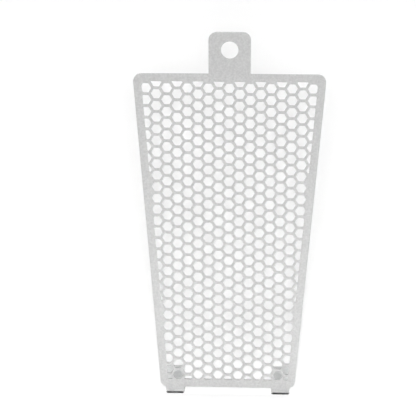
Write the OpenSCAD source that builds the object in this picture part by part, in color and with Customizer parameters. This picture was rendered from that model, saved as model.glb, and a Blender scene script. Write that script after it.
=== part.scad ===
// Radiator guard for a motorcycle: one laser-cut steel sheet with a hexagon mesh,
// a tab with a bolt hole at the top and two hooks folded back at the bottom.
// Millimetres, +Z up. The front face looks towards -Y, and the origin is the
// centre of the tab's hole, halfway through the sheet.

/* [Sheet] */
// Thickness of the steel sheet
sheet_t = 1.5; // [1:0.1:2.5]
// Inside radius of each fold
fold_r = 2; // [1:0.5:3.5]

/* [Plate] */
// Width of the plate along its top edge, up to the sharp corners
plate_top_w = 184.5; // [160:0.5:240]
// Width of the plate along its bottom edge, up to the sharp corners
plate_bottom_w = 134; // [128:0.5:170]
// Height of the plate from its bottom edge to its top edge
plate_h = 320.5; // [200:0.5:400]
// Radius of the two upper corners
plate_top_r = 8; // [2:0.5:14]
// Radius of the two lower corners
plate_bottom_r = 7; // [2:0.5:8]

/* [Mesh] */
// Size of a hexagon across its flats
hex_af = 9; // [6:0.5:16]
// Width of the metal between two hexagons
web_w = 2.5; // [1.5:0.1:5]
// Solid border along the top edge
border_top = 7.5; // [4:0.5:20]
// Solid border along each slanted side
border_side = 7.5; // [4:0.5:20]
// Solid border along the bottom edge
border_bottom = 8.5; // [8:0.5:20]
// From the top edge down to the centre of the middle column's first hexagon
mesh_start = 14; // [8:0.5:20]
// Smallest width of a hexagon cut by the side border that is still opened
sliver_min = 2.1; // [1:0.1:4]

/* [Tab] */
// Width of the tab
tab_w = 40; // [30:0.5:70]
// Height of the tab above the top edge of the plate
tab_h = 40; // [30:0.5:80]
// Radius of the tab's two upper corners
tab_r = 8; // [2:0.5:14]
// Diameter of the bolt hole
hole_d = 16.5; // [6:0.5:20]
// From the top of the tab down to the centre of the hole
hole_down = 17.2; // [14:0.1:22]

/* [Hooks] */
// Distance between the centres of the two hooks
hook_spacing = 106; // [70:1:106]
// Width of a hook where it leaves the plate
hook_root_w = 19; // [12:0.5:22]
// Width of a hook along its folds and its return leg
hook_end_w = 17.5; // [10:0.5:22]
// From the bottom edge of the plate down to the underside of the hooks
hook_drop = 7; // [6.5:0.5:30]
// Clear space between the plate and the return leg
hook_gap = 16; // [8:0.5:30]
// Height of the return leg above the underside of the hooks
hook_leg_h = 22.5; // [14:0.5:60]

/* [Hidden] */
steel = [0.82, 0.82, 0.81];
eps = 0.5;
// Sides of a full circle
round_fn = 24;
// The plate's edges, measured from the hole
plate_top_z = hole_down - tab_h;
plate_bottom_z = plate_top_z - plate_h;
hook_bottom_z = plate_bottom_z - hook_drop;
// Lean of the plate's sides from the vertical
side_lean = atan((plate_top_w - plate_bottom_w) / 2 / plate_h);
// Mesh: hexagons with a flat side up, in columns that are half a row apart
row_pitch = hex_af + web_w;
column_pitch = row_pitch * cos(30);
hex_corner_r = hex_af / 2 / cos(30);
column_count = ceil(max(plate_top_w, plate_bottom_w) / 2 / column_pitch);
row_count = ceil(plate_h / row_pitch);
first_row_z = plate_top_z - mesh_start;
window_top_z = plate_top_z - border_top;
window_bottom_z = plate_bottom_z + border_bottom;
// Hook: an outer channel less an inner one, both with round lower corners
fold_outer_r = fold_r + sheet_t;
hook_depth = hook_gap + 2 * sheet_t;
// The hook's front leg runs this far up into the plate
hook_lap = plate_bottom_r;

// Half the plate's width at height z
function half_width(z) =
    plate_bottom_w / 2 + (z - plate_bottom_z) * tan(side_lean);
// Half the mesh window's width at height z
function window_half(z) = half_width(z) - border_side / cos(side_lean);
// Height of a hexagon's centre: odd columns lie half a row higher
function hex_z(column, row) =
    first_row_z - (row - (column % 2 == 0 ? 0 : 0.5)) * row_pitch;
// Width of a hexagon left inside the side border, across its own centre
function hex_inside(x, z) = window_half(z) - (abs(x) - hex_corner_r);
// Whether the hexagon at x, z is opened: no thin slivers beside the borders
function hex_opens(x, z) =
    hex_inside(x, z) > sliver_min
    && z - hex_af / 2 < window_top_z - eps
    && z + hex_af / 2 > window_bottom_z + eps;
// Whether the hexagon at x, z lies whole inside the window
function hex_is_whole(x, z) =
    window_half(z) > abs(x) + hex_corner_r
    && window_half(z - hex_af / 2) > abs(x) + hex_corner_r / 2
    && z + hex_af / 2 < window_top_z
    && z - hex_af / 2 > window_bottom_z;

// The tip that a round corner takes off the sharp corner p, between the edges
// that run from p towards a and b
module corner_waste(p, a, b, r) {
    u = (a - p) / norm(a - p);
    v = (b - p) / norm(b - p);
    half_angle = acos(u * v) / 2;
    run = r / tan(half_angle);
    inward = (u + v) / norm(u + v);
    centre = p + inward * r / sin(half_angle);
    past_edge = 1 + eps / r;
    difference() {
        polygon([
            centre,
            centre + (p + u * run - centre) * past_edge,
            p - inward * 2 * eps,
            centre + (p + v * run - centre) * past_edge
        ]);
        translate(centre) circle(r, $fn = round_fn);
    }
}

// Front outline of the plate: a trapezoid with four round corners
module plate_outline() {
    top_left = [-plate_top_w / 2, plate_top_z];
    top_right = [plate_top_w / 2, plate_top_z];
    bottom_left = [-plate_bottom_w / 2, plate_bottom_z];
    bottom_right = [plate_bottom_w / 2, plate_bottom_z];
    difference() {
        polygon([bottom_left, bottom_right, top_right, top_left]);
        corner_waste(top_left, top_right, bottom_left, plate_top_r);
        corner_waste(top_right, top_left, bottom_right, plate_top_r);
        corner_waste(bottom_left, bottom_right, top_left, plate_bottom_r);
        corner_waste(bottom_right, bottom_left, top_right, plate_bottom_r);
    }
}

// Front outline of the tab, down to where it runs into the plate
module tab_outline() {
    top_left = [-tab_w / 2, hole_down];
    top_right = [tab_w / 2, hole_down];
    foot_left = [-tab_w / 2, plate_top_z - eps];
    foot_right = [tab_w / 2, plate_top_z - eps];
    difference() {
        polygon([foot_left, foot_right, top_right, top_left]);
        corner_waste(top_left, top_right, foot_left, tab_r);
        corner_waste(top_right, top_left, foot_right, tab_r);
    }
}

// The part of the plate inside its solid border
module mesh_window() {
    polygon([
        [-window_half(window_bottom_z), window_bottom_z],
        [window_half(window_bottom_z), window_bottom_z],
        [window_half(window_top_z), window_top_z],
        [-window_half(window_top_z), window_top_z]
    ]);
}

// The mesh's hexagons: those that lie whole in the window, or those it cuts
module hexagons(whole) {
    for (column = [-column_count : column_count], row = [0 : row_count]) {
        x = column * column_pitch;
        z = hex_z(column, row);
        if (hex_opens(x, z) && hex_is_whole(x, z) == whole)
            translate([x, z]) circle(hex_corner_r, $fn = 6);
    }
}

// Every opening of the mesh, cut off straight along the solid border
module mesh_holes() {
    hexagons(whole = true);
    intersection() {
        mesh_window();
        hexagons(whole = false);
    }
}

// Channel of width w with round lower corners, open above height h
module channel(w, r, h) {
    translate([r, 0]) square([w - 2 * r, h]);
    translate([0, r]) square([w, h - r]);
    translate([r, r]) circle(r, $fn = round_fn);
    translate([w - r, r]) circle(r, $fn = round_fn);
}

// Side section of a hook: front leg, fold, floor, fold and return leg
module hook_section() {
    front_leg_h = hook_drop + hook_lap;
    difference() {
        channel(hook_depth, fold_outer_r, max(front_leg_h, hook_leg_h));
        translate([sheet_t, sheet_t])
            channel(hook_gap, fold_r, max(front_leg_h, hook_leg_h));
        translate([-eps, front_leg_h])
            square([sheet_t + 2 * eps, hook_leg_h + front_leg_h]);
        translate([hook_depth - sheet_t - eps, hook_leg_h])
            square([sheet_t + 2 * eps, hook_leg_h + front_leg_h]);
    }
}

// Front view of a hook: its sides close in between the plate and the fold
module hook_front_view() {
    fold_top_z = hook_bottom_z + fold_outer_r;
    top_z = hook_bottom_z + hook_leg_h + hook_lap + hook_drop;
    polygon([
        [-hook_end_w / 2, hook_bottom_z - eps],
        [hook_end_w / 2, hook_bottom_z - eps],
        [hook_end_w / 2, fold_top_z],
        [hook_root_w / 2, plate_bottom_z],
        [hook_root_w / 2, top_z],
        [-hook_root_w / 2, top_z],
        [-hook_root_w / 2, plate_bottom_z],
        [-hook_end_w / 2, fold_top_z]
    ]);
}

// Flat sheet lying in the plane of the plate
module upright_sheet() {
    rotate([90, 0, 0]) linear_extrude(sheet_t, center = true) children();
}

// One hook, folded back from the plate's bottom edge and up behind the mesh
module hook() {
    intersection() {
        translate([0, -sheet_t / 2, hook_bottom_z])
            rotate([90, 0, 90])
            linear_extrude(max(hook_root_w, hook_end_w), center = true)
            hook_section();
        rotate([90, 0, 0])
            linear_extrude(3 * hook_depth, center = true)
            hook_front_view();
    }
}

// The whole guard: mesh plate, tab and hooks are one piece of sheet
module guard_sheet() {
    color(steel)
    difference() {
        union() {
            upright_sheet()
            difference() {
                union() {
                    plate_outline();
                    tab_outline();
                }
                mesh_holes();
            }
            for (side = [-1, 1])
                translate([side * hook_spacing / 2, 0, 0]) hook();
        }
        rotate([90, 0, 0])
            cylinder(h = 3 * sheet_t, d = hole_d, center = true, $fn = round_fn);
    }
}

guard_sheet();
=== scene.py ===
"""Motorcycle radiator guard: its finish, studio and camera.

The sheet is made as it is in the workshop: a flat blank with every opening cut,
then each hook folded round its two bends. The frame is +Z up, front towards -Y,
origin in the tab's hole. The guard's sizes are in millimetres, which turn into
metres once it is folded. Places of the camera, lamps and floor are in metres.
"""

import math

import bmesh
import bpy
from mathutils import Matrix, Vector

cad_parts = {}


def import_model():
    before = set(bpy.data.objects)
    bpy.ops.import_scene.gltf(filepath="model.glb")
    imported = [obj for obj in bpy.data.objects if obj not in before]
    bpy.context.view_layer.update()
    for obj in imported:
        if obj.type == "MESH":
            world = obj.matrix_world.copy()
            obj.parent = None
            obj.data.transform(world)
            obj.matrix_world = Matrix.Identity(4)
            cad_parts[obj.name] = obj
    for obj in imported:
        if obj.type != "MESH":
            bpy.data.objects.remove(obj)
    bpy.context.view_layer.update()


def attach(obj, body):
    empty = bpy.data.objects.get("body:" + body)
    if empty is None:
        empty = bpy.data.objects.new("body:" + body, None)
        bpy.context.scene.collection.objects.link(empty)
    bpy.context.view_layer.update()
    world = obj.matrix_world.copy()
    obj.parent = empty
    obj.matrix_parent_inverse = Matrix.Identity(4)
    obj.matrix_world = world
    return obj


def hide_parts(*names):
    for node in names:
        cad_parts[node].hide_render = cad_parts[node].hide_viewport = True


MM = 0.001

# Sheet: thickness, inside radius of a fold, and the round on every cut edge
SHEET_T = 1.5
FOLD_R = 2.0
EDGE_R = 0.18
# Plate
PLATE_TOP_W = 184.5
PLATE_BOTTOM_W = 134.0
PLATE_H = 320.5
PLATE_TOP_R = 8.0
PLATE_BOTTOM_R = 7.0
# Mesh: hexagon across its flats, metal between two, and the solid borders
HEX_AF = 9.0
WEB_W = 2.5
HEX_CORNER_R = 0.7
BORDER_TOP = 7.5
BORDER_SIDE = 7.5
BORDER_BOTTOM = 8.5
# Mesh: from the plate's top edge down to the first hexagon of the middle column
MESH_START = 14.0
# Mesh: least width and height inside the borders that a hexagon needs to be opened
SLIVER_MIN = 2.1
OVERLAP_MIN = 0.5
# Tab
TAB_W = 40.0
TAB_H = 40.0
TAB_R = 8.0
HOLE_D = 16.5
HOLE_DOWN = 17.2
# Hooks
HOOK_SPACING = 106.0
HOOK_ROOT_W = 19.0
HOOK_END_W = 17.5
HOOK_DROP = 7.0
HOOK_GAP = 16.0
HOOK_LEG_H = 22.5
HOOK_TIP_R = 0.6

# Heights of the tab, the plate, the mesh window and the floor
TAB_TOP_Z = HOLE_DOWN
PLATE_TOP_Z = TAB_TOP_Z - TAB_H
PLATE_BOTTOM_Z = PLATE_TOP_Z - PLATE_H
WINDOW_TOP_Z = PLATE_TOP_Z - BORDER_TOP
WINDOW_BOTTOM_Z = PLATE_BOTTOM_Z + BORDER_BOTTOM
FLOOR_Z = PLATE_BOTTOM_Z - HOOK_DROP
# Lean of the plate's sides from the vertical
SIDE_LEAN = math.atan((PLATE_TOP_W - PLATE_BOTTOM_W) / 2 / PLATE_H)
# Mesh pitch and the hexagon's outer radius
ROW_PITCH = HEX_AF + WEB_W
COLUMN_PITCH = ROW_PITCH * math.cos(math.radians(30))
HEX_R = HEX_AF / 2 / math.cos(math.radians(30))
# Folds, measured along the middle of the sheet
FOLD_OUTER_R = FOLD_R + SHEET_T
FOLD_MID_R = FOLD_R + SHEET_T / 2
FOLD_ARC = FOLD_MID_R * math.pi / 2
FOLD_TOP_Z = FLOOR_Z + FOLD_OUTER_R
HOOK_FLOOR = HOOK_GAP - 2 * FOLD_R
HOOK_LEG = HOOK_LEG_H - FOLD_OUTER_R
STRAP_END_Z = FOLD_TOP_Z - 2 * FOLD_ARC - HOOK_FLOOR - HOOK_LEG

# Steps in each round form
FOLD_STEPS = 10
EDGE_STEPS = 2
CORNER_STEPS = 12
HEX_CORNER_STEPS = 2
HOLE_SIDES = 96
# Share of a side that the round corner at one end of it may take
CORNER_SHARE = 0.45
# Tolerances: beside a fold line, in a cut through the strap, and for a face or a length
LINE_SLACK = 1e-3
CUT_SLACK = 1e-5
TINY = 1e-6

# Material index of each finish of the sheet
SATIN = 0
CUT_EDGE = 1
# Inner faces of the hooks: painted light, a lighter colour where they stand in shade
HOOK_INSIDE = 2
# Satin, and the hooks' inner faces with painted light (a lighter colour where they stand in shade):
# colour, how far the grain shifts it, and roughness
SATIN_TONE = (0.735, 0.735, 0.733)
SATIN_GRAIN = 0.07
SATIN_ROUGHNESS = 0.6
# Painted light: the hooks' inner faces are lighter than the satin where they stand in shade
HOOK_INSIDE_PAINTED_LIGHT_TONE = (0.84, 0.852, 0.85)
HOOK_INSIDE_GRAIN = 0.04
HOOK_INSIDE_ROUGHNESS = 0.52
# Both: fine grain with its relief, and clouds that shift colour and roughness
GRAIN_SCALE = 600.0
GRAIN_RELIEF = 0.12
CLOUD_SCALE = 22.0
CLOUD_TONE = 0.015
CLOUD_ROUGHNESS = 0.02
STEEL_DETAIL = 3.0
# Laser-cut edge: its lines are stretched through the thickness of the sheet
CUT_TONE = (0.34, 0.335, 0.33)
CUT_ROUGHNESS = 0.55
CUT_LINE_SCALE = 2600.0
CUT_LINE_STRETCH = (1.0, 0.08, 1.0)
CUT_LINE_TONE = 0.15
CUT_LINE_RELIEF = 0.3
CUT_LINE_DETAIL = 2.0
# Depth of all relief, and the noise values that count as the lowest and the highest
RELIEF_DEPTH = 0.00005
NOISE_LOW = 0.3
NOISE_HIGH = 0.7

# Camera, from the fit to the photograph: metres, degrees, and millimetres in the lens
CAMERA_PLACE = (0.02638, -1.39444, 0.25717)
CAMERA_TURN = (73.526, -0.089, 1.939)
CAMERA_LENS = 129.47
CAMERA_SENSOR = 36.0
CAMERA_REACH = 50.0
# Floor
FLOOR_HALF = 12.0
FLOOR_TONE = 0.625
FLOOR_ROUGHNESS = 0.9
# Floor: painted shadow, a dark line under the folds in its colour and glow, by how far the sky above
# is closed off (mm)
CONTACT_REACH = 2.7
CONTACT_FROM = 0.35
CONTACT_TO = 0.75
CONTACT_SAMPLES = 16
# Floor: lift away from the pool of light under the top box
POOL_CENTRE = (0, 0.2, FLOOR_Z * MM)
POOL_NEAR = 0.0
POOL_FAR = 1.85
FAR_LIFT = 0.29
# Floor: painted light, a glow in front of the guard's foot that fills its shadow there, less and
# less away from the same pool
FOOT_BACK = 0.02
FOOT_FRONT = -0.005
FOOT_NEAR = 0.6
FOOT_FAR = 1.6
FOOT_PAINTED_LIGHT = 0.23
# Floor: power of the sum that joins the two lifts
LIFT_POWER = 4
# Light
WORLD_LIGHT = 0.64
TOP_BOX_PLACE = (0, 0.2, 1.2)
TOP_BOX_SIZE = 0.7
TOP_BOX_W = 15.0
LENS_BOX_AIM = (0, 0.3, FLOOR_Z * MM)
LENS_BOX_SIZE = 0.105
LENS_BOX_LIGHT = 7.6


def half_width(z):
    """Half the plate's width at height z."""
    return PLATE_BOTTOM_W / 2 + (z - PLATE_BOTTOM_Z) * math.tan(SIDE_LEAN)


def window_half(z):
    """Half the mesh window's width at height z."""
    return half_width(z) - BORDER_SIDE / math.cos(SIDE_LEAN)


def rounded(points, radii, steps):
    """A closed outline with each corner turned into an arc of its own radius."""
    out = []
    count = len(points)
    for i, corner in enumerate(points):
        before, after = points[i - 1], points[(i + 1) % count]
        u = (before - corner).normalized()
        v = (after - corner).normalized()
        half = u.angle(v) / 2
        room = CORNER_SHARE * min((before - corner).length, (after - corner).length)
        run = min(radii[i] / math.tan(half), room)
        if run < TINY:
            out.append(corner)
            continue
        radius = run * math.tan(half)
        centre = corner + (u + v).normalized() * radius / math.sin(half)
        start = corner + u * run - centre
        end = corner + v * run - centre
        sweep = start.angle_signed(end)
        for k in range(steps + 1):
            turn = -sweep * k / steps
            cos_t, sin_t = math.cos(turn), math.sin(turn)
            spoke = Vector((start.x * cos_t - start.y * sin_t, start.x * sin_t + start.y * cos_t))
            out.append(centre + spoke)
    return out


def clipped(points, inside):
    """A convex outline cut by one border: inside(p) is the depth of p within it."""
    out = []
    for i, q in enumerate(points):
        p = points[i - 1]
        dp, dq = inside(p), inside(q)
        if dp * dq < 0:
            out.append(p + (q - p) * dp / (dp - dq))
        if dq >= 0:
            out.append(q)
    return out


def plate_corner_arc(from_x):
    """The plate's lower right corner, from where the hook's side at from_x meets it."""
    centre_z = PLATE_BOTTOM_Z + PLATE_BOTTOM_R
    centre_x = half_width(centre_z) - PLATE_BOTTOM_R / math.cos(SIDE_LEAN)
    start = math.asin((from_x - centre_x) / PLATE_BOTTOM_R)
    end = math.pi / 2 - SIDE_LEAN
    out = []
    for k in range(CORNER_STEPS + 1):
        turn = start + (end - start) * k / CORNER_STEPS
        x = centre_x + PLATE_BOTTOM_R * math.sin(turn)
        z = centre_z - PLATE_BOTTOM_R * math.cos(turn)
        out.append((x, z))
    return out


def blank_outline():
    """The flat sheet's outline, anticlockwise, with the straps of the hooks laid out flat."""
    middle = HOOK_SPACING / 2
    root = HOOK_ROOT_W / 2
    end = HOOK_END_W / 2
    strap = [
        ((middle - root, PLATE_BOTTOM_Z), 0.0),
        ((middle - end, FOLD_TOP_Z), 0.0),
        ((middle - end, STRAP_END_Z), HOOK_TIP_R),
        ((middle + end, STRAP_END_Z), HOOK_TIP_R),
        ((middle + end, FOLD_TOP_Z), 0.0),
        ((middle + root, PLATE_BOTTOM_Z), 0.0),
    ]
    plate = [(place, 0.0) for place in plate_corner_arc(middle + root)]
    plate.append(((PLATE_TOP_W / 2, PLATE_TOP_Z), PLATE_TOP_R))
    tab = [
        ((TAB_W / 2, PLATE_TOP_Z), 0.0),
        ((TAB_W / 2, TAB_TOP_Z), TAB_R),
    ]
    right = strap + plate + tab
    left = [((-x, z), radius) for (x, z), radius in reversed(right)]
    points = [Vector(place) for place, _ in right + left]
    radii = [radius for _, radius in right + left]
    return rounded(points, radii, CORNER_STEPS)


def hex_opening(x, z):
    """One hexagon of the mesh, cut straight along the solid border, or None."""
    if window_half(z) - (abs(x) - HEX_R) <= SLIVER_MIN:
        return None
    if z - HEX_AF / 2 >= WINDOW_TOP_Z - OVERLAP_MIN:
        return None
    if z + HEX_AF / 2 <= WINDOW_BOTTOM_Z + OVERLAP_MIN:
        return None
    points = []
    for k in range(6):
        turn = math.radians(60 * k)
        points.append(Vector((x + HEX_R * math.cos(turn), z + HEX_R * math.sin(turn))))
    points = clipped(points, lambda p: WINDOW_TOP_Z - p.y)
    points = clipped(points, lambda p: p.y - WINDOW_BOTTOM_Z)
    points = clipped(points, lambda p: window_half(p.y) - abs(p.x))
    return rounded(points, [HEX_CORNER_R] * len(points), HEX_CORNER_STEPS)


def mesh_openings():
    """Every opening of the mesh: columns of hexagons, with every other one half a row up."""
    columns = math.ceil(PLATE_TOP_W / 2 / COLUMN_PITCH)
    rows = math.ceil(PLATE_H / ROW_PITCH)
    out = []
    for column in range(-columns, columns + 1):
        for row in range(rows + 1):
            half_row = 0.5 if column % 2 else 0.0
            z = PLATE_TOP_Z - MESH_START - (row - half_row) * ROW_PITCH
            opening = hex_opening(column * COLUMN_PITCH, z)
            if opening:
                out.append(opening)
    return out


def bolt_hole():
    """The round hole in the tab."""
    turns = [2 * math.pi * k / HOLE_SIDES for k in range(HOLE_SIDES)]
    return [Vector((math.cos(t), math.sin(t))) * HOLE_D / 2 for t in turns]


def moved_inward(points, distance):
    """An outline shifted towards its left, where the metal is."""
    out = []
    count = len(points)
    for i, p in enumerate(points):
        u = (p - points[i - 1]).normalized()
        v = (points[(i + 1) % count] - p).normalized()
        normal_u = Vector((-u.y, u.x))
        normal_v = Vector((-v.y, v.x))
        out.append(p + (normal_u + normal_v) * distance / (1 + normal_u.dot(normal_v)))
    return out


def edge_section():
    """Inset and depth of each ring round an edge, from the front face to the back."""
    front = []
    for k in range(EDGE_STEPS + 1):
        turn = math.pi / 2 * k / EDGE_STEPS
        inset = EDGE_R * (1 - math.sin(turn))
        depth = EDGE_R * (1 - math.cos(turn))
        front.append((inset, -SHEET_T / 2 + depth))
    back = [(inset, -y) for inset, y in reversed(front)]
    return front + back


def add_rim(bm, outline):
    """The wall along one outline, with a round edge on each side. Gives its front and back ring."""
    rings = []
    for inset, y in edge_section():
        rings.append([bm.verts.new((p.x, y, p.y)) for p in moved_inward(outline, inset)])
    count = len(outline)
    for k in range(len(rings) - 1):
        for i in range(count):
            j = (i + 1) % count
            face = bm.faces.new((rings[k][i], rings[k][j], rings[k + 1][j], rings[k + 1][i]))
            face.material_index = CUT_EDGE if k == EDGE_STEPS else SATIN
            face.smooth = True
    return rings[0], rings[-1]


def cut_blank():
    """The flat sheet as a bmesh, in satin with cut walls round its outline and its openings."""
    bm = bmesh.new()
    outlines = [blank_outline()]
    for hole in [bolt_hole()] + mesh_openings():
        outlines.append(list(reversed(hole)))
    front_edges = []
    back_of = {}
    for outline in outlines:
        front, back = add_rim(bm, outline)
        for i, vert in enumerate(front):
            front_edges.append(bm.edges.get((vert, front[(i + 1) % len(front)])))
            back_of[vert] = back[i]
    filled = bmesh.ops.triangle_fill(bm, use_beauty=True, edges=front_edges, normal=(0, -1, 0))
    for face in [g for g in filled["geom"] if isinstance(g, bmesh.types.BMFace)]:
        twin = bm.faces.new([back_of[v] for v in reversed(face.verts)])
        for side in (face, twin):
            side.smooth = False
            side.material_index = SATIN
    bmesh.ops.recalc_face_normals(bm, faces=bm.faces)
    return bm


def fold_lines():
    """Heights on the flat strap of its root and of each step of its two folds."""
    lines = [PLATE_BOTTOM_Z]
    for top in (FOLD_TOP_Z, FOLD_TOP_Z - FOLD_ARC - HOOK_FLOOR):
        lines += [top - FOLD_ARC * k / FOLD_STEPS for k in range(FOLD_STEPS + 1)]
    return lines


def folded(p):
    """Where a point of the flat strap lies once the hook is folded."""
    run = FOLD_TOP_Z - p.z
    if run <= 0:
        return p
    radius = FOLD_MID_R - p.y
    if run <= FOLD_ARC:
        turn = run / FOLD_MID_R
        y = FOLD_MID_R - radius * math.cos(turn)
        return Vector((p.x, y, FOLD_TOP_Z - radius * math.sin(turn)))
    run -= FOLD_ARC
    if run <= HOOK_FLOOR:
        return Vector((p.x, FOLD_MID_R + run, FOLD_TOP_Z - radius))
    run -= HOOK_FLOOR
    back_y = FOLD_MID_R + HOOK_FLOOR
    if run <= FOLD_ARC:
        turn = run / FOLD_MID_R
        return Vector((p.x, back_y + radius * math.sin(turn), FOLD_TOP_Z - radius * math.cos(turn)))
    return Vector((p.x, back_y + radius, FOLD_TOP_Z + run - FOLD_ARC))


def fold_hooks(bm):
    """Cuts the straps along the fold lines, paints light on their inner faces as a lighter colour,
    and folds both hooks.
    """
    reach = PLATE_BOTTOM_Z + LINE_SLACK
    for z in fold_lines():
        faces = [f for f in bm.faces if min(v.co.z for v in f.verts) < reach]
        edges = {e for f in faces for e in f.edges}
        verts = {v for f in faces for v in f.verts}
        geom = faces + list(edges) + list(verts)
        bmesh.ops.bisect_plane(bm, geom=geom, dist=CUT_SLACK, plane_co=(0, 0, z), plane_no=(0, 0, 1))
    for face in bm.faces:
        if max(v.co.z for v in face.verts) < FOLD_TOP_Z + LINE_SLACK:
            face.smooth = True
            # Painted light: the inner faces of the hooks get the lighter colour, where they stand in
            # shade
            if min(v.co.y for v in face.verts) > SHEET_T / 2 - TINY:
                face.material_index = HOOK_INSIDE
    for vert in bm.verts:
        vert.co = folded(vert.co)


def make_sheet():
    """The folded guard as one piece that stands for the CAD sheet."""
    bm = cut_blank()
    fold_hooks(bm)
    bmesh.ops.scale(bm, vec=(MM, MM, MM), verts=bm.verts)
    mesh = bpy.data.meshes.new("guard_sheet_finish")
    bm.to_mesh(mesh)
    bm.free()
    # In the order of their material indices
    for material in (satin_material(), cut_material(), hook_inside_painted_light_material()):
        mesh.materials.append(material)
    piece = bpy.data.objects.new("guard_sheet_finish", mesh)
    bpy.context.scene.collection.objects.link(piece)
    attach(piece, "root")
    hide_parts("guard_sheet")


def fill(tree, socket, value):
    """A socket linked to another one, or set to a plain value."""
    if isinstance(value, bpy.types.NodeSocket):
        tree.links.new(value, socket)
    else:
        socket.default_value = value


def node(tree, kind, operation=None, **inputs):
    """A new node with its inputs filled by name, where an underscore stands for a space."""
    made = tree.nodes.new(kind)
    if operation:
        made.operation = operation
    for name, value in inputs.items():
        fill(tree, made.inputs[name.replace("_", " ")], value)
    return made


def calculate(tree, operation, first, second):
    """Two sockets or numbers put together by a math node."""
    made = node(tree, "ShaderNodeMath", operation)
    fill(tree, made.inputs[0], first)
    fill(tree, made.inputs[1], second)
    return made.outputs[0]


def mapped(tree, source, start, end, low, high, kind="LINEAR"):
    """A value between start and end turned into low to high, and held there past either end."""
    ends = {"From_Min": start, "From_Max": end, "To_Min": low, "To_Max": high}
    made = node(tree, "ShaderNodeMapRange", Value=source, **ends)
    made.interpolation_type = kind
    return made.outputs["Result"]


def eased(tree, source, start, end, low, high):
    """A value between start and end turned into low to high, with a soft start and end."""
    return mapped(tree, source, start, end, low, high, "SMOOTHSTEP")


def shifted(tree, source, middle, shift):
    """A noise value turned into a number that lies at most a shift away from its middle."""
    return mapped(tree, source, NOISE_LOW, NOISE_HIGH, middle - shift, middle + shift)


def joined(tree, first, second):
    """About the larger of two values: the root of the sum of their powers, so no kink shows."""
    powers = [calculate(tree, "POWER", value, LIFT_POWER) for value in (first, second)]
    total = calculate(tree, "ADD", *powers)
    return calculate(tree, "POWER", total, 1 / LIFT_POWER)


def noise(tree, place, scale, detail):
    """A noise value over the surface."""
    return node(tree, "ShaderNodeTexNoise", Vector=place, Scale=scale, Detail=detail).outputs["Fac"]


def object_place(tree):
    """The place on the piece itself, in metres."""
    return tree.nodes.new("ShaderNodeTexCoord").outputs["Object"]


def new_material(name):
    """A new material with its node tree and principled shader."""
    material = bpy.data.materials.new(name)
    material.use_nodes = True
    tree = material.node_tree
    return material, tree, tree.nodes["Principled BSDF"]


def set_colour(tree, shader, colour, share):
    """The shader's colour: one colour times a share that varies from place to place."""
    scaled = node(tree, "ShaderNodeVectorMath", "SCALE", Vector=colour, Scale=share)
    tree.links.new(scaled.outputs[0], shader.inputs["Base Color"])


def set_relief(tree, shader, height, strength):
    """Fine relief on the shader, from a noise value."""
    bump = node(tree, "ShaderNodeBump", Height=height, Strength=strength, Distance=RELIEF_DEPTH)
    tree.links.new(bump.outputs["Normal"], shader.inputs["Normal"])


def steel_material(name, tone, grain_shift, roughness):
    """Stainless sheet with a fine grain and faint cloudy marks."""
    material, tree, shader = new_material(name)
    place = object_place(tree)
    grain = noise(tree, place, GRAIN_SCALE, STEEL_DETAIL)
    cloud = noise(tree, place, CLOUD_SCALE, STEEL_DETAIL)
    fine = shifted(tree, grain, 1.0, grain_shift)
    broad = shifted(tree, cloud, 1.0, CLOUD_TONE)
    set_colour(tree, shader, tone, calculate(tree, "MULTIPLY", fine, broad))
    clouded = shifted(tree, cloud, roughness, CLOUD_ROUGHNESS)
    tree.links.new(clouded, shader.inputs["Roughness"])
    shader.inputs["Metallic"].default_value = 1.0
    set_relief(tree, shader, grain, GRAIN_RELIEF)
    return material


def satin_material():
    """The sheet's own bead-blasted finish."""
    return steel_material("satin_steel", SATIN_TONE, SATIN_GRAIN, SATIN_ROUGHNESS)


def hook_inside_painted_light_material():
    """Inner faces of the hooks: smoother than the satin, and painted lighter where they stand in
    shade.
    """
    return steel_material("hook_inside_painted_light", HOOK_INSIDE_PAINTED_LIGHT_TONE, HOOK_INSIDE_GRAIN, HOOK_INSIDE_ROUGHNESS)


def cut_material():
    """Laser-cut edge: darker, with fine lines across the sheet."""
    material, tree, shader = new_material("laser_cut_edge")
    stretched = node(tree, "ShaderNodeMapping", Vector=object_place(tree), Scale=CUT_LINE_STRETCH)
    lines = noise(tree, stretched.outputs["Vector"], CUT_LINE_SCALE, CUT_LINE_DETAIL)
    set_colour(tree, shader, CUT_TONE, shifted(tree, lines, 1.0, CUT_LINE_TONE))
    shader.inputs["Metallic"].default_value = 1.0
    shader.inputs["Roughness"].default_value = CUT_ROUGHNESS
    set_relief(tree, shader, lines, CUT_LINE_RELIEF)
    return material


def contact_shade(tree):
    """Painted shadow: 0 where the sky above the floor is closed off, as under the folds, and 1 in
    the open.
    """
    contact = node(tree, "ShaderNodeAmbientOcclusion", Distance=CONTACT_REACH * MM)
    contact.samples = CONTACT_SAMPLES
    return eased(tree, contact.outputs["AO"], CONTACT_FROM, CONTACT_TO, 0.0, 1.0)


def floor_lift(tree):
    """White that the floor gives by itself: away from the pool of light, and at the foot, where it
    is painted light over the guard's shadow.
    """
    place = tree.nodes.new("ShaderNodeNewGeometry").outputs["Position"]
    depth = node(tree, "ShaderNodeSeparateXYZ", Vector=place).outputs["Y"]
    distance = node(tree, "ShaderNodeVectorMath", "DISTANCE", Vector=place)
    distance.inputs[1].default_value = POOL_CENTRE
    away = distance.outputs["Value"]
    # Painted light: glow in front of the guard's foot, where its shadow falls
    front = eased(tree, depth, FOOT_BACK, FOOT_FRONT, 0.0, FOOT_PAINTED_LIGHT)
    near = eased(tree, away, FOOT_NEAR, FOOT_FAR, 1.0, 0.0)
    foot = calculate(tree, "MULTIPLY", front, near)
    far = eased(tree, away, POOL_NEAR, POOL_FAR, 0.0, FAR_LIFT)
    return joined(tree, foot, far)


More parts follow.
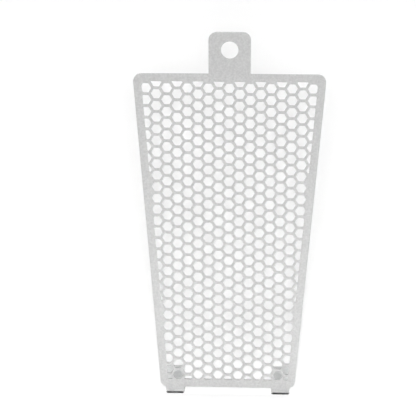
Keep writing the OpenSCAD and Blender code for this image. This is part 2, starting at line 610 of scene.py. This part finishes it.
def seen_directly(tree):
    """1 for rays from the camera, or by way of a mirror or glass, and 0 for scattered light."""
    path = tree.nodes.new("ShaderNodeLightPath")
    glossy = path.outputs["Is Glossy Ray"]
    mirrored = calculate(tree, "MAXIMUM", glossy, path.outputs["Is Transmission Ray"])
    return calculate(tree, "MAXIMUM", path.outputs["Is Camera Ray"], mirrored)


def floor_material():
    """Pale paper with real shadows and a painted shadow under the folds, lifted to plain white where
    the lamps don't reach and, as painted light, at the guard's foot.
    """
    material, tree, shader = new_material("white_floor")
    shader.inputs["Roughness"].default_value = FLOOR_ROUGHNESS
    shader.inputs["Specular IOR Level"].default_value = 0.0
    shader.inputs["Emission Color"].default_value = (1, 1, 1, 1)
    # Painted shadow: the floor's colour and glow darken under the folds
    shade = contact_shade(tree)
    set_colour(tree, shader, [FLOOR_TONE] * 3, shade)
    lift = calculate(tree, "MULTIPLY", floor_lift(tree), shade)
    seen = calculate(tree, "MULTIPLY", lift, seen_directly(tree))
    tree.links.new(seen, shader.inputs["Emission Strength"])
    return material


def make_floor():
    """A large plain floor under the hooks."""
    half = FLOOR_HALF
    z = FLOOR_Z * MM
    mesh = bpy.data.meshes.new("floor")
    corners = [(-half, -half, z), (half, -half, z), (half, half, z), (-half, half, z)]
    mesh.from_pydata(corners, [], [(0, 1, 2, 3)])
    mesh.materials.append(floor_material())
    floor = bpy.data.objects.new("floor", mesh)
    bpy.context.scene.collection.objects.link(floor)


def make_world():
    """Even, white light from all round."""
    world = bpy.data.worlds.new("studio")
    world.use_nodes = True
    background = world.node_tree.nodes["Background"]
    background.inputs["Color"].default_value = (1, 1, 1, 1)
    background.inputs["Strength"].default_value = WORLD_LIGHT
    bpy.context.scene.world = world


def make_lamp(name, place, target, size, power):
    """A square soft box at place, turned towards target and out of the camera's sight."""
    lamp = bpy.data.lights.new(name, "AREA")
    lamp.shape = "SQUARE"
    lamp.size = size
    lamp.energy = power
    holder = bpy.data.objects.new(name, lamp)
    holder.location = place
    aim = Vector(target) - Vector(place)
    holder.rotation_euler = aim.to_track_quat("-Z", "Y").to_euler()
    holder.visible_camera = False
    bpy.context.scene.collection.objects.link(holder)
    return holder


def make_lens_softbox():
    """A soft box round the lens: it makes no gloss, and lights the near and far floor alike."""
    holder = make_lamp("lens_softbox", CAMERA_PLACE, LENS_BOX_AIM, LENS_BOX_SIZE, 1.0)
    holder.visible_glossy = False
    lamp = holder.data
    lamp.use_nodes = True
    tree = lamp.node_tree
    level = node(tree, "ShaderNodeLightFalloff", Strength=LENS_BOX_LIGHT)
    slant = node(tree, "ShaderNodeLightFalloff", Strength=1.0)
    even = calculate(tree, "MULTIPLY", level.outputs["Constant"], slant.outputs["Linear"])
    tree.links.new(even, tree.nodes["Emission"].inputs["Strength"])


def make_camera():
    """The photograph's view: a long lens, looking a little down on the plate."""
    camera = bpy.data.cameras.new("camera")
    camera.sensor_width = CAMERA_SENSOR
    camera.lens = CAMERA_LENS
    camera.clip_end = CAMERA_REACH
    holder = bpy.data.objects.new("camera", camera)
    holder.location = CAMERA_PLACE
    holder.rotation_euler = [math.radians(a) for a in CAMERA_TURN]
    bpy.context.scene.collection.objects.link(holder)
    bpy.context.scene.camera = holder


def main():
    """Builds the scene."""
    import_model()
    make_camera()
    make_sheet()
    make_floor()
    make_world()
    make_lamp("top_softbox", TOP_BOX_PLACE, POOL_CENTRE, TOP_BOX_SIZE, TOP_BOX_W)
    make_lens_softbox()
    bpy.context.scene.view_settings.view_transform = "Standard"


main()
